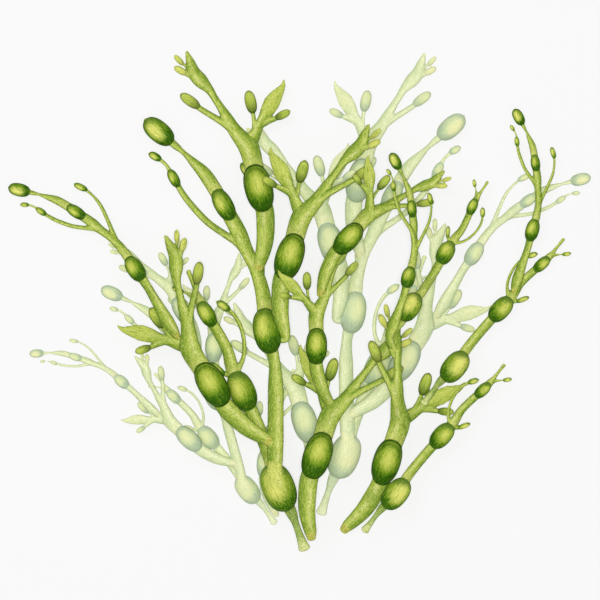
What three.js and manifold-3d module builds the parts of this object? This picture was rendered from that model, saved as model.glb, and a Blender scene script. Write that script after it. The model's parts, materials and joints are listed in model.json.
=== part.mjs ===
// Knotted wrack, also called egg wrack: a tuft of leathery olive-green seaweed as picked, laid out
// on a flat surface with its cut ends towards -Y and its tips fanned out towards +Y.
// Every frond grew as one piece: a flattened strap that swells into egg-shaped air bladders, forks,
// and ends in blades, clubs and small buds. Fronds lie over each other like any heap of weed.
// Units are millimetres and +Z is up. The surface that the tuft lies on is z = 0.

import * as THREE from "three";
import { mergeVertices } from "three/addons/utils/BufferGeometryUtils.js";
import Module from "manifold-3d";

const wasm = await Module();
wasm.setup();

// Driving dimensions of the living tissue
const BLADDER_DEPTH = 0.74; // a bladder's thickness as a share of its width
const STRAP_BASE = 1.6; // a strap's thickness is this ...
const STRAP_SHARE = 0.25; // ... and this share of its width,
const STALK_SHARE = 0.8; // but never more than this share of its width
const BLADE_DEPTH = 1.5; // thickness of the leaf-like blades
const LEAF_EASE = 8; // length over which a strap thins out into a blade
const BARREL = 2.3; // shape of a bladder's outline: 2 is an ellipse, more is fuller towards its ends
const TIP_WIDTH = 0.9; // no strap is drawn out thinner than this
const PRESSED_FLAT = 0.7; // how far a bladder is pressed flat where it rests on the surface

// How the fronds lie on each other
const STEP = 2; // spacing of the samples along a strap
const SPAN = 16; // fine steps of the curve from one point of a path to the next
const CLEARANCE = 1.1; // air left between one frond and the next
const SAG = 0.004; // how readily a free stretch bends down, per millimetre
const SETTLING_ROUNDS = 3000;
const EASE = 3; // samples on each side over which a bend is rounded
const GROWN_TOGETHER = 13; // within this radius of its root a shoot isn't held off its own frond
const SEATED = 0.3; // a shoot's root sits this share of the parent's thickness above its middle
const CELL = 1; // cell of the height map
const MAP_HALF = [200, 180];

// Middle of the tuft's outline in the coordinates that the shoots are given in: the part's origin
const MIDDLE = [-0.3, -0.3];

// How closely the flat-faced solids follow the true outline, in the front and behind
const FRONT = { error: 0.68, sides: 6, thinSides: 4, merge: 0.2 };
const BEHIND = { error: 0.95, sides: 6, thinSides: 4, merge: 0.35 };
const THIN = 5.5; // widest strap that gets the smaller number of sides

// One growth form: its limbs in a frame of its own, with the origin at the middle of its first bladder.
// A limb's path is a list of [x, y, strap width]. Its floats are [path point, length, width]: bladders,
// or clubs where they are last. "from" is the limb it grows out of, and "leaf" the path point where it
// thins out into a blade. The first limb starts at the root.
const SPRAY = [
  {
    path: [
      [-0.3, -49.4, 5.2], [0.5, -45.6, 7.4], [2.3, -39.4, 9], [3.8, -32, 10.4], [4.2, -22, 11.2],
      [3.8, -14, 11.2], [0, 0, 11], [-3.4, 15.5, 12], [-4.8, 21.5, 12.4], [-6.8, 26, 12.4],
      [-10.5, 30.2, 10.2], [-15, 35.8, 8.3], [-19, 42.5, 6.8], [-22.8, 48.8, 5], [-26.4, 54.3, 4.5],
      [-29.6, 59.4, 5.4], [-35, 65.1, 8.8], [-39.1, 70, 8.2], [-41.3, 76.3, 5.6], [-43.4, 82.3, 2],
    ],
    floats: [[6, 29, 17]],
  },
  // the leaf-like blade
  {
    from: 0,
    leaf: 3,
    path: [
      [-6, 25.6, 9], [-2.6, 32, 7.6], [0, 37.4, 6], [2.5, 42.2, 6], [5.1, 46.5, 8.6],
      [7.4, 50.8, 9.9], [9.9, 54.8, 9], [12.6, 58.7, 6], [14.6, 61.9, 3.3], [15.2, 65.5, 0.9],
    ],
    floats: [],
  },
  // the long club beside the main arm
  {
    from: 0,
    path: [
      [-14.6, 34.2, 6], [-19, 37.9, 4.8], [-23.6, 41, 4.2], [-30, 44.9, 3.8], [-36, 48.7, 3.5],
      [-41.4, 52.9, 3.2], [-47.2, 56.6, 0.9],
    ],
    floats: [[5, 14, 6.4]],
  },
  // two clubs on either side of the blade
  {
    from: 1,
    path: [[-2.4, 33, 4], [-2.7, 39.6, 2.6], [-3.3, 44.6, 2.5], [-4.8, 52, 2.4], [-6.4, 58.8, 0.9]],
    floats: [[3, 14.2, 7]],
  },
  {
    from: 1,
    path: [[0, 37.4, 4.4], [5.2, 40.3, 4], [9.7, 42, 3.2], [14.5, 44.4, 3], [18.9, 46.7, 0.9]],
    floats: [[3, 10, 5]],
  },
  // two buds beside the main arm's tip
  {
    from: 0,
    path: [[-37, 66.6, 3.6], [-42.9, 68.7, 2.7], [-47.2, 71.2, 2.4], [-51, 73.3, 0.9]],
    floats: [[2, 8.8, 4.3]],
  },
  {
    from: 0,
    path: [[-38.8, 70.4, 2.6], [-44, 73.8, 1.8], [-48.1, 77.5, 1.6], [-50.7, 80.5, 0.9]],
    floats: [[2, 8.2, 3.5]],
  },
];

const WHIP = [
  {
    path: [
      [26.4, -41.4, 3], [24, -38.2, 6], [19.8, -31.8, 8.1], [15, -23.4, 6.8], [10.8, -16.2, 5.6],
      [7.2, -10.2, 5.4], [0, 0, 6.4], [-5.4, 8.4, 6], [-9.6, 13.8, 5.4], [-15.2, 19.3, 4.9],
      [-20.8, 23.4, 5.2], [-26, 27.7, 6], [-36, 34.5, 5.4], [-42.6, 38.8, 5.4], [-48, 41.7, 5],
      [-53.4, 43.5, 3.4], [-58.2, 45, 1.9], [-62.4, 46, 2.8], [-70.2, 47.8, 3], [-76.4, 49.2, 0.9],
    ],
    floats: [[6, 17, 10.3], [12, 12.8, 7.1], [18, 13.4, 8]],
  },
  // the side shoot, with its own small bladder
  {
    from: 0,
    path: [
      [-13.6, 17.6, 3.4], [-18.8, 21.4, 3.8], [-24.4, 24.1, 3.2], [-30.9, 24.9, 2.7], [-38, 25.9, 2.6],
      [-45, 28.2, 2.6], [-51, 30.9, 2.4], [-57.2, 34.8, 2.1], [-62.2, 38, 1.4], [-67.2, 38.9, 1.5],
      [-69.8, 38.8, 0.9],
    ],
    floats: [[7, 7.4, 3.9], [9, 5.2, 3]],
  },
  // the club on a thin stalk
  {
    from: 0,
    path: [
      [-10.2, 14.6, 3], [-13.8, 22.2, 2.7], [-17.4, 30.6, 2.4], [-21.6, 39, 2.2], [-25.8, 44.1, 1.8],
      [-28.8, 46.8, 1.8], [-33.3, 49.5, 1.8], [-37.2, 51, 0.9],
    ],
    floats: [[6, 9, 4]],
  },
];

const CHAIN = [
  {
    path: [
      [-18.6, -21.9, 5.2], [-17, -19.8, 4.2], [-14.6, -16.6, 3.3], [-11.7, -12.7, 3.2], [-8.6, -8.8, 5],
      [0, 0, 6.4], [7.6, 11.4, 6.2], [13.8, 19.2, 6], [20, 26.4, 6], [27.6, 34.8, 6],
      [34.8, 43.2, 6], [39, 49.8, 5.1], [45.6, 56.4, 4.8], [52.2, 62.1, 4.8], [57, 66.9, 4.4],
      [59.2, 69.6, 2.6], [62, 73.2, 1.9], [65.2, 77.2, 2.2],
    ],
    floats: [[5, 21.6, 14.3], [9, 18, 11.5], [13, 12.2, 6.9]],
  },
  // the bud at the chain's fork
  {
    from: 0,
    path: [[57, 66.9, 3.4], [60.6, 67.8, 1.8], [63.6, 68.1, 1.1], [67.2, 68.4, 1.4], [69.8, 68.9, 0.9]],
    floats: [[3, 5.4, 2.8]],
  },
  // the little club above the second bladder
  {
    from: 0,
    path: [[32.6, 40.8, 3.2], [37.2, 39.6, 2.2], [40.8, 40.8, 1.9], [44.6, 42.2, 0.9]],
    floats: [[2, 8.4, 3.2]],
  },
  // the club on a thin stalk
  {
    from: 0,
    path: [
      [32.2, 42.6, 2.8], [31.5, 49, 2], [33.1, 55.2, 1.9], [36.6, 61.2, 1.8], [41, 65.3, 1.8],
      [46.4, 67.6, 1.9], [50, 68.5, 0.9],
    ],
    floats: [[5, 6.8, 3.6]],
  },
];

// A shoot is one growth form set in place: at = middle of its first bladder, turn in degrees
// anticlockwise, size = its scale, mirrored = flipped left to right before it is turned. "on" is the
// shoot of the same frond that it grows from. Where its strap runs on into that shoot, the points of
// "lead" take the place of the first "skip" points of its path.
const MAIN_FROND = [
  { form: CHAIN, at: [-12.8, -112.2], turn: -17.5, size: 1.385, mirrored: true },
  {
    form: WHIP,
    at: [-19.8, -18.6],
    turn: -27.2,
    size: 1.61,
    on: 0,
    lead: [[-15.2, -104, 9], [-14.8, -86.7, 10], [-14.6, -69.4, 9.6], [-14.6, -52.2, 9.4], [-15.5, -36, 7]],
    skip: 6,
  },
  { form: SPRAY, at: [-24.9, 67.2], turn: 0, size: 1, on: 1 },
  {
    form: SPRAY,
    at: [-6.3, 25.8],
    turn: -3.2,
    size: 0.99,
    mirrored: true,
    on: 1,
    lead: [[-13, -23.4, 5]],
  },
  { form: SPRAY, at: [-52.5, -50.7], turn: 45.3, size: 1, mirrored: true, on: 1 },
  { form: WHIP, at: [-99, 18.6], turn: 0, size: 1, on: 4 },
];
const CENTRE_FROND = [
  { form: SPRAY, at: [10.3, -93.3], turn: -4.4, size: 1, mirrored: true },
  { form: SPRAY, at: [9.9, -27.6], turn: 13.6, size: 0.755, mirrored: true, on: 0 },
  { form: SPRAY, at: [28.8, 36.6], turn: -27, size: 0.76, mirrored: true, on: 1 },
];
const RIGHT_FROND = [
  { form: SPRAY, at: [52.2, -97.2], turn: -31.6, size: 0.995 },
  {
    form: CHAIN,
    at: [65.4, -4.2],
    turn: -72.5,
    size: 0.88,
    mirrored: true,
    on: 0,
    lead: [[55.6, -33, 3.4]],
    skip: 1,
  },
  { form: WHIP, at: [64.4, 13.2], turn: -49.7, size: 0.826, on: 0, lead: [[56, -30, 4.5]], skip: 1 },
  { form: CHAIN, at: [93.1, -40.2], turn: -0.4, size: 1, on: 0 },
  { form: WHIP, at: [139.9, 42], turn: -49, size: 0.81, on: 3 },
];
const LOW_FROND = [{ form: CHAIN, at: [57.6, -116.4], turn: 0, size: 1 }];
const PALE_LEFT_CENTRE = [CENTRE_FROND[0]];
const PALE_RIGHT_CENTRE = [{ ...CENTRE_FROND[0], at: [12.6, -89.6], turn: -2.3, size: 0.965 }];

// The fronds from the lowest to the topmost. The pale ones underneath are the same growth as the main
// frond and the centre frond's first shoot, smaller: "moved" turns, scales and flips them about the
// main frond's foot.
const FOOT = [-12.6, -112.8];
const AS_GROWN = { to: FOOT, turn: 0, size: 1 };
const FAR_LEFT = { to: [-31.3, -114.6], turn: 16, size: 0.638 };
const FAR_RIGHT = { to: [26.5, -94.6], turn: 0.7, size: 0.924, mirrored: true };
const FRONDS = [
  { name: "pale_left_main_frond", shoots: MAIN_FROND, moved: FAR_LEFT, colour: "pale", detail: BEHIND },
  { name: "pale_left_centre_frond", shoots: PALE_LEFT_CENTRE, moved: FAR_LEFT, colour: "pale", detail: BEHIND },
  { name: "pale_right_main_frond", shoots: MAIN_FROND, moved: FAR_RIGHT, colour: "pale", detail: BEHIND },
  { name: "pale_right_centre_frond", shoots: PALE_RIGHT_CENTRE, moved: FAR_RIGHT, colour: "pale", detail: BEHIND },
  { name: "main_frond", shoots: MAIN_FROND, moved: AS_GROWN, colour: "green", detail: FRONT },
  { name: "centre_frond", shoots: CENTRE_FROND, moved: AS_GROWN, colour: "green", detail: FRONT },
  { name: "right_frond", shoots: RIGHT_FROND, moved: AS_GROWN, colour: "green", detail: FRONT },
  { name: "low_right_frond", shoots: LOW_FROND, moved: AS_GROWN, colour: "green", detail: FRONT },
];

const COLOURS = {
  green: new THREE.MeshStandardMaterial({ color: 0x8fa93a, roughness: 0.5, metalness: 0 }),
  pale: new THREE.MeshStandardMaterial({ color: 0xd3dfae, roughness: 0.55, metalness: 0 }),
};

// Flips, turns and scales [x, y] about "from", and sets it down at "to".
function moved([x, y], { to, turn, size, mirrored }, from = [0, 0]) {
  const angle = THREE.MathUtils.degToRad(turn);
  const dx = (x - from[0]) * (mirrored ? -1 : 1);
  const dy = y - from[1];
  return [
    to[0] + size * (dx * Math.cos(angle) - dy * Math.sin(angle)),
    to[1] + size * (dx * Math.sin(angle) + dy * Math.cos(angle)),
  ];
}

function strapDepth(width) {
  return Math.min(width * STALK_SHARE, STRAP_BASE + width * STRAP_SHARE);
}

// One limb as samples STEP apart: x, y, width w, thickness t, and the sideways unit vector nx, ny.
function sampled(limb, place, scale, lead = [], skip = 0) {
  const own = limb.path.slice(skip).map(([x, y, w]) => [...place([x, y]), w * scale]);
  const points = [...lead, ...own].map((point) => new THREE.Vector3(...point));
  const curve = new THREE.CatmullRomCurve3(points, false, "centripetal");
  const fine = curve.getPoints((points.length - 1) * SPAN);
  const run = [0];
  for (let i = 1; i < fine.length; i++) {
    run.push(run[i - 1] + Math.hypot(fine[i].x - fine[i - 1].x, fine[i].y - fine[i - 1].y));
  }
  const total = run.at(-1);
  const passed = (point) => run[(point - skip + lead.length) * SPAN];
  const leafFrom = limb.leaf === undefined ? Infinity : passed(limb.leaf);
  const floats = limb.floats.map(([point, long, wide]) => ({
    middle: passed(point),
    half: (long * scale) / 2,
    wide: wide * scale,
  }));
  const count = Math.max(4, Math.ceil(total / STEP));
  const samples = [];
  for (let i = 0, k = 0; i <= count; i++) {
    const s = (total * i) / count;
    while (k < run.length - 2 && run[k + 1] < s) k++;
    const share = (s - run[k]) / (run[k + 1] - run[k] || 1);
    const { x, y, z: strap } = fine[k].clone().lerp(fine[k + 1], share);
    let w = Math.max(strap, TIP_WIDTH);
    const leaf = THREE.MathUtils.clamp((s - leafFrom) / LEAF_EASE, 0, 1);
    let t = strapDepth(w) * (1 - leaf) + Math.min(BLADE_DEPTH, w * STALK_SHARE) * leaf;
    for (const { middle, half, wide } of floats) {
      const off = (s - middle) / half;
      if (Math.abs(off) >= 1) continue;
      const swell = wide * (1 - Math.abs(off) ** BARREL) ** (1 / BARREL);
      w = Math.max(w, swell);
      t = Math.max(t, swell * BLADDER_DEPTH);
    }
    samples.push({ x, y, w, t });
  }
  samples.forEach((p, i) => {
    const a = samples[Math.max(0, i - 1)];
    const b = samples[Math.min(samples.length - 1, i + 1)];
    const long = Math.hypot(b.x - a.x, b.y - a.y);
    p.nx = -(b.y - a.y) / long;
    p.ny = (b.x - a.x) / long;
  });
  return samples;
}

// The top of everything laid down so far, on a grid
const columns = Math.ceil((2 * MAP_HALF[0]) / CELL);
const rows = Math.ceil((2 * MAP_HALF[1]) / CELL);
const cellOf = (x, y) =>
  Math.floor((y + MAP_HALF[1]) / CELL) * columns + Math.floor((x + MAP_HALF[0]) / CELL);
const emptyMap = () => new Float32Array(columns * rows).fill(-1);

// Calls visit(x, y, depth) across a sample's width; depth is half its thickness there.
function across(p, visit) {
  const steps = Math.max(2, Math.ceil(p.w / (CELL * 0.7)));
  for (let i = 0; i <= steps; i++) {
    const off = (2 * i) / steps - 1;
    const side = (off * p.w) / 2;
    visit(p.x + p.nx * side, p.y + p.ny * side, (p.t / 2) * Math.sqrt(Math.max(0, 1 - off * off)));
  }
}

function layDown(map, samples) {
  for (const p of samples) {
    across(p, (x, y, depth) => {
      for (const step of [0, 1, -1, columns, -columns]) {
        const cell = cellOf(x, y) + step;
        map[cell] = Math.max(map[cell], p.z + depth);
      }
    });
  }
}

// The least height of a sample's middle that clears the surface and what lies below it
function heldAt(p, maps) {
  let least = p.t / 2 - PRESSED_FLAT;
  across(p, (x, y, depth) => {
    for (const map of maps) {
      const top = map[cellOf(x, y)];
      if (top > 0) least = Math.max(least, top + CLEARANCE + depth);
    }
  });
  return least;
}

// Lets one shoot down onto what is below it, as a stiff strap that sags a little between its supports.
// Its limbs share a sample where one grows from another. The root stays at rootHeight if it is given.
function settle(limbs, maps, ownMap, rootHeight) {
  const knots = [];
  const root = limbs[0].samples[0];
  for (const limb of limbs) {
    limb.knots = limb.samples.map((p, i) => {
      if (i === 0 && limb.parent) return limb.parent.knots[limb.parentSample];
      const near = rootHeight !== undefined && Math.hypot(p.x - root.x, p.y - root.y) < GROWN_TOGETHER;
      knots.push({ p, held: heldAt(p, near ? maps : [...maps, ownMap]), next: [] });
      return knots.length - 1;
    });
    for (let i = 1; i < limb.knots.length; i++) {
      knots[limb.knots[i]].next.push(limb.knots[i - 1]);
      knots[limb.knots[i - 1]].next.push(limb.knots[i]);
    }
  }
  // what holds one sample up also holds up its neighbours, so that bends can be rounded afterwards
  let held = knots.map((knot) => knot.held);
  for (let i = 0; i < EASE; i++) {
    held = knots.map((knot, k) => Math.max(held[k], ...knot.next.map((n) => held[n])));
  }
  let z = held.slice();
  const drop = (SAG * STEP * STEP) / 2;
  for (let round = 0; round < SETTLING_ROUNDS; round++) {
    z = z.map((_, k) => {
      if (k === 0 && rootHeight !== undefined) return rootHeight;
      const { next } = knots[k];
      const mean = next.reduce((sum, n) => sum + z[n], 0) / next.length;
      return Math.max(held[k], mean - drop);
    });
  }
  for (const { samples, knots: own } of limbs) {
    samples.forEach((p, i) => {
      const reach = Math.min(EASE, i, samples.length - 1 - i);
      let sum = 0;
      for (let j = i - reach; j <= i + reach; j++) sum += z[own[j]];
      p.z = sum / (2 * reach + 1);
    });
  }
  // a limb's first sample follows the limb it grows from, and the next few close the small step
  for (const { samples, parent, parentSample } of limbs) {
    if (!parent) continue;
    const step = parent.samples[parentSample].z - samples[0].z;
    samples.slice(0, EASE + 1).forEach((p, i) => (p.z += step * (1 - i / (EASE + 1))));
  }
}

function nearest(samples, [x, y]) {
  const away = samples.map((p) => Math.hypot(p.x - x, p.y - y));
  return away.indexOf(Math.min(...away));
}

// Keeps only the samples that the limb's shape needs: the rest lie within "error" of a straight run.
function thinned(samples, error) {
  const keys = ["x", "y", "z", "w", "t"];
  const weight = { x: 1, y: 1, z: 1, w: 0.5, t: 0.5 };
  const keep = new Set([0, samples.length - 1]);
  const split = (a, b) => {
    let worst = 0;
    let at = -1;
    for (let i = a + 1; i < b; i++) {
      const share = (i - a) / (b - a);
      const off = Math.hypot(
        ...keys.map((k) => weight[k] * (samples[i][k] - samples[a][k] * (1 - share) - samples[b][k] * share)),
      );
      if (off > worst) [worst, at] = [off, i];
    }
    if (worst <= error) return;
    keep.add(at);
    split(a, at);
    split(at, b);
  };
  split(0, samples.length - 1);
  return samples.filter((_, i) => keep.has(i));
}

// A closed solid swept through the samples, with an oval section of so many sides and pointed caps
function swept(samples, sides) {
  const positions = [];
  const rim = 1 / Math.cos(Math.PI / sides / 2);
  for (const p of samples) {
    for (let k = 0; k < sides; k++) {
      const angle = (2 * Math.PI * k) / sides;
      const side = (Math.cos(angle) * p.w * rim) / 2;
      positions.push(p.x + p.nx * side, p.y + p.ny * side, p.z + (Math.sin(angle) * p.t * rim) / 2);
    }
  }
  const first = samples[0];
  const last = samples.at(-1);
  for (const p of [first, last]) {
    const out = (p === last ? 1 : -1) * p.w * 0.25;
    positions.push(p.x + p.ny * out, p.y - p.nx * out, p.z);
  }
  const faces = [];
  const startCap = samples.length * sides;
  const endRing = (samples.length - 1) * sides;
  for (let k = 0; k < sides; k++) {
    const next = (k + 1) % sides;
    faces.push(startCap, next, k);
    faces.push(startCap + 1, endRing + k, endRing + next);
    for (let i = 0; i < samples.length - 1; i++) {
      const a = i * sides;
      const b = a + sides;
      faces.push(a + k, b + next, b + k, a + k, a + next, b + next);
    }
  }
  return new wasm.Manifold(
    new wasm.Mesh({
      numProp: 3,
      vertProperties: new Float32Array(positions),
      triVerts: new Uint32Array(faces),
    }),
  );
}

// Works out one frond's limbs in the part's frame and lets its shoots down one after another.
function grown({ shoots, moved: group }, maps) {
  const ownMap = emptyMap();
  const done = [];
  for (const { form, at, turn, size, mirrored, on, lead = [], skip } of shoots) {
    const scale = size * group.size;
    const place = (point) => moved(moved(point, { to: at, turn, size, mirrored }), group, FOOT);
    const led = lead.map((point) => [...moved(point, group, FOOT), point[2] * group.size]);
    const limbs = [];
    for (const limb of form) {
      const made = { samples: sampled(limb, place, scale, ...(limbs.length ? [] : [led, skip])) };
      if (limb.from !== undefined) {
        made.parent = limbs[limb.from];
        made.parentSample = nearest(made.parent.samples, place(limb.path[0]));
      }
      limbs.push(made);
    }
    let rootHeight;
    if (on !== undefined) {
      const { x, y } = limbs[0].samples[0];
      const carriers = done[on].flatMap((limb) => limb.samples);
      const carrier = carriers[nearest(carriers, [x, y])];
      rootHeight = carrier.z + carrier.t * SEATED;
    }
    settle(limbs, maps, ownMap, rootHeight);
    for (const limb of limbs) layDown(ownMap, limb.samples);
    done.push(limbs);
  }
  maps.push(ownMap);
  return done.flat();
}

function solidOf(limbs, { error, sides, thinSides, merge }) {
  let whole;
  for (const { samples } of limbs) {
    const kept = thinned(samples, error);
    const widest = Math.max(...kept.map((p) => p.w));
    const tube = swept(kept, widest > THIN ? sides : thinSides);
    whole = whole ? whole.add(tube) : tube;
  }
  return whole.trimByPlane([0, 0, 1], 0).simplify(merge).translate([-MIDDLE[0], -MIDDLE[1], 0]);
}

function meshOf(solid, name, material) {
  const { vertProperties, triVerts, numProp } = solid.getMesh();
  const positions = new Float32Array((vertProperties.length / numProp) * 3);
  for (let i = 0; i < positions.length / 3; i++) {
    positions.set(vertProperties.subarray(i * numProp, i * numProp + 3), i * 3);
  }
  const geometry = new THREE.BufferGeometry();
  geometry.setAttribute("position", new THREE.BufferAttribute(positions, 3));
  geometry.setIndex(new THREE.BufferAttribute(triVerts, 1));
  const flat = mergeVertices(geometry).toNonIndexed();
  flat.computeVertexNormals();
  const mesh = new THREE.Mesh(flat, material);
  mesh.name = name;
  return mesh;
}

const tuft = new THREE.Group();
const maps = [];
for (const frond of FRONDS) {
  const limbs = grown(frond, maps);
  tuft.add(meshOf(solidOf(limbs, frond.detail), frond.name, COLOURS[frond.colour]));
}

export default tuft;
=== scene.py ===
import json
import math
import bpy
import numpy as np
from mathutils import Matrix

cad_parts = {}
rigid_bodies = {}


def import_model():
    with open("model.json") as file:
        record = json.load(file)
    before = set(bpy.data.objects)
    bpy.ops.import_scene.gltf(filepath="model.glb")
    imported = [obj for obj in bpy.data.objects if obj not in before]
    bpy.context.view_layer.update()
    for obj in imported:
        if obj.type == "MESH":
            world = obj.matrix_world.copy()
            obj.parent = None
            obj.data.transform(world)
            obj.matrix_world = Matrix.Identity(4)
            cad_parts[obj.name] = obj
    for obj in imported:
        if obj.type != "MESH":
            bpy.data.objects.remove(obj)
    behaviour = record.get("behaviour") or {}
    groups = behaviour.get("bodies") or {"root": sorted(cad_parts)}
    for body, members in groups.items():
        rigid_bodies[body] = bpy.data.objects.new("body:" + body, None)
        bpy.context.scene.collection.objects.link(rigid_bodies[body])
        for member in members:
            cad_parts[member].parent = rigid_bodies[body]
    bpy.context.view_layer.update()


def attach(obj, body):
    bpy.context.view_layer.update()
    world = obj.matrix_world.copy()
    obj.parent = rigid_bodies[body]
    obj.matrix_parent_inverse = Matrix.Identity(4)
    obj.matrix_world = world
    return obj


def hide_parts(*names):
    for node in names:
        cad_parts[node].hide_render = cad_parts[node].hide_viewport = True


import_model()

# Pale main frond on the left
# The lowest frond of the tuft: one plant body, bleached pale, of flattened leathery straps that swell
# into air bladders, fork, and end in blades, clubs and buds. It lies loose on the surface, pressed a
# little flat where it touches. Lengths are millimetres, as in the part, until a mesh is made.

MM = 0.001

# A form of growth is its limbs and its look. A limb is (path, floats, parent limb or None, the path
# point where it thins out into a leaf-like blade or None). A path is (x, y, strap width) and a float, a
# bladder or club, is (path point, length, width, how yellow it has ripened), all with the origin at the
# middle of the first bladder. A look's first two numbers are how far to the left the painted highlight
# lies on its bladders, and on its strap below the first bladder. cap is how dark the painted shade on the
# bladders' tops is, stem is 1 where the foot is a stem, and clubs is 1 where the side limbs end in clubs.
SPRAY_LOOK = {"bladder_highlight_offset": -0.04, "strap_highlight": 0.25, "cap": 0, "stem": 0, "clubs": 1}
SPRAY_LIMBS = [
    ([(-0.3, -49.4, 5.2), (0.5, -45.6, 7.4), (2.3, -39.4, 9), (3.8, -32, 10.4), (4.2, -22, 11.2),
      (3.8, -14, 11.2), (0, 0, 11), (-3.4, 15.5, 12), (-4.8, 21.5, 12.4), (-6.8, 26, 12.4),
      (-10.5, 30.2, 10.2), (-15, 35.8, 8.3), (-19, 42.5, 6.8), (-22.8, 48.8, 5), (-26.4, 54.3, 4.5),
      (-29.6, 59.4, 5.4), (-35, 65.1, 8.8), (-39.1, 70, 8.2), (-41.3, 76.3, 5.6), (-43.4, 82.3, 2)],
     [(6, 29, 17, 0)], None, None),
    ([(-6, 25.6, 9), (-2.6, 32, 7.6), (0, 37.4, 6), (2.5, 42.2, 6), (5.1, 46.5, 8.6),
      (7.4, 50.8, 9.9), (9.9, 54.8, 9), (12.6, 58.7, 6), (14.6, 61.9, 3.3), (15.2, 65.5, 0.9)],
     [], 0, 3),
    ([(-14.6, 34.2, 6), (-19, 37.9, 4.8), (-23.6, 41, 4.2), (-30, 44.9, 3.8), (-36, 48.7, 3.5),
      (-41.4, 52.9, 3.2), (-47.2, 56.6, 0.9)],
     [(5, 14, 6.4, 0.25)], 0, None),
    ([(-2.4, 33, 4), (-2.7, 39.6, 2.6), (-3.3, 44.6, 2.5), (-4.8, 52, 2.4), (-6.4, 58.8, 0.9)],
     [(3, 14.2, 7, 0.1)], 1, None),
    ([(0, 37.4, 4.4), (5.2, 40.3, 4), (9.7, 42, 3.2), (14.5, 44.4, 3), (18.9, 46.7, 0.9)],
     [(3, 10, 5, 0.1)], 1, None),
    ([(-37, 66.6, 3.6), (-42.9, 68.7, 2.7), (-47.2, 71.2, 2.4), (-51, 73.3, 0.9)],
     [(2, 8.8, 4.3, 0.9)], 0, None),
    ([(-38.8, 70.4, 2.6), (-44, 73.8, 1.8), (-48.1, 77.5, 1.6), (-50.7, 80.5, 0.9)],
     [(2, 8.2, 3.5, 0.7)], 0, None),
]
SPRAY = (SPRAY_LIMBS, SPRAY_LOOK)

WHIP_LOOK = {"bladder_highlight_offset": 0.34, "strap_highlight": -0.35, "cap": 0.5, "stem": 0, "clubs": 0}
WHIP_LIMBS = [
    ([(26.4, -41.4, 3), (24, -38.2, 6), (19.8, -31.8, 8.1), (15, -23.4, 6.8), (10.8, -16.2, 5.6),
      (7.2, -10.2, 5.4), (0, 0, 6.4), (-5.4, 8.4, 6), (-9.6, 13.8, 5.4), (-15.2, 19.3, 4.9),
      (-20.8, 23.4, 5.2), (-26, 27.7, 6), (-36, 34.5, 5.4), (-42.6, 38.8, 5.4), (-48, 41.7, 5),
      (-53.4, 43.5, 3.4), (-58.2, 45, 1.9), (-62.4, 46, 2.8), (-70.2, 47.8, 3), (-76.4, 49.2, 0.9)],
     [(6, 17, 10.3, 0), (12, 12.8, 7.1, 0), (18, 13.4, 8, 1)], None, None),
    ([(-13.6, 17.6, 3.4), (-18.8, 21.4, 3.8), (-24.4, 24.1, 3.2), (-30.9, 24.9, 2.7), (-38, 25.9, 2.6),
      (-45, 28.2, 2.6), (-51, 30.9, 2.4), (-57.2, 34.8, 2.1), (-62.2, 38, 1.4), (-67.2, 38.9, 1.5),
      (-69.8, 38.8, 0.9)],
     [(7, 7.4, 3.9, 0), (9, 5.2, 3, 0.3)], 0, None),
    ([(-10.2, 14.6, 3), (-13.8, 22.2, 2.7), (-17.4, 30.6, 2.4), (-21.6, 39, 2.2), (-25.8, 44.1, 1.8),
      (-28.8, 46.8, 1.8), (-33.3, 49.5, 1.8), (-37.2, 51, 0.9)],
     [(6, 9, 4, 0.2)], 0, None),
]
WHIP = (WHIP_LIMBS, WHIP_LOOK)

CHAIN_LOOK = {"bladder_highlight_offset": -0.25, "strap_highlight": 0.25, "cap": 1, "stem": 1, "clubs": 0}
CHAIN_LIMBS = [
    ([(-18.6, -21.9, 5.2), (-17, -19.8, 4.2), (-14.6, -16.6, 3.3), (-11.7, -12.7, 3.2), (-8.6, -8.8, 5),
      (0, 0, 6.4), (7.6, 11.4, 6.2), (13.8, 19.2, 6), (20, 26.4, 6), (27.6, 34.8, 6),
      (34.8, 43.2, 6), (39, 49.8, 5.1), (45.6, 56.4, 4.8), (52.2, 62.1, 4.8), (57, 66.9, 4.4),
      (59.2, 69.6, 2.6), (62, 73.2, 1.9), (65.2, 77.2, 2.2)],
     [(5, 21.6, 14.3, 0.6), (9, 18, 11.5, 0), (13, 12.2, 6.9, 0)], None, None),
    ([(57, 66.9, 3.4), (60.6, 67.8, 1.8), (63.6, 68.1, 1.1), (67.2, 68.4, 1.4), (69.8, 68.9, 0.9)],
     [(3, 5.4, 2.8, 0.2)], 0, None),
    ([(32.6, 40.8, 3.2), (37.2, 39.6, 2.2), (40.8, 40.8, 1.9), (44.6, 42.2, 0.9)],
     [(2, 8.4, 3.2, 0.2)], 0, None),
    ([(32.2, 42.6, 2.8), (31.5, 49, 2), (33.1, 55.2, 1.9), (36.6, 61.2, 1.8), (41, 65.3, 1.8),
      (46.4, 67.6, 1.9), (50, 68.5, 0.9)],
     [(5, 6.8, 3.6, 0.3)], 0, None),
]
CHAIN = (CHAIN_LIMBS, CHAIN_LOOK)

# A shoot is (form, middle of its first bladder, turn anticlockwise, scale, mirrored, the shoot of the
# same frond that it grows on, points that lead its strap into that shoot, and how many points of its
# own path they take the place of).
MAIN_FROND = [
    (CHAIN, (-12.8, -112.2), -17.5, 1.385, True, None, [], 0),
    (WHIP, (-19.8, -18.6), -27.2, 1.61, False, 0,
     [(-15.2, -104, 9), (-14.8, -86.7, 10), (-14.6, -69.4, 9.6), (-14.6, -52.2, 9.4), (-15.5, -36, 7)], 6),
    (SPRAY, (-24.9, 67.2), 0, 1, False, 1, [], 0),
    (SPRAY, (-6.3, 25.8), -3.2, 0.99, True, 1, [(-13, -23.4, 5)], 0),
    (SPRAY, (-52.5, -50.7), 45.3, 1, True, 1, [], 0),
    (WHIP, (-99, 18.6), 0, 1, False, 4, [], 0),
]

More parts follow.
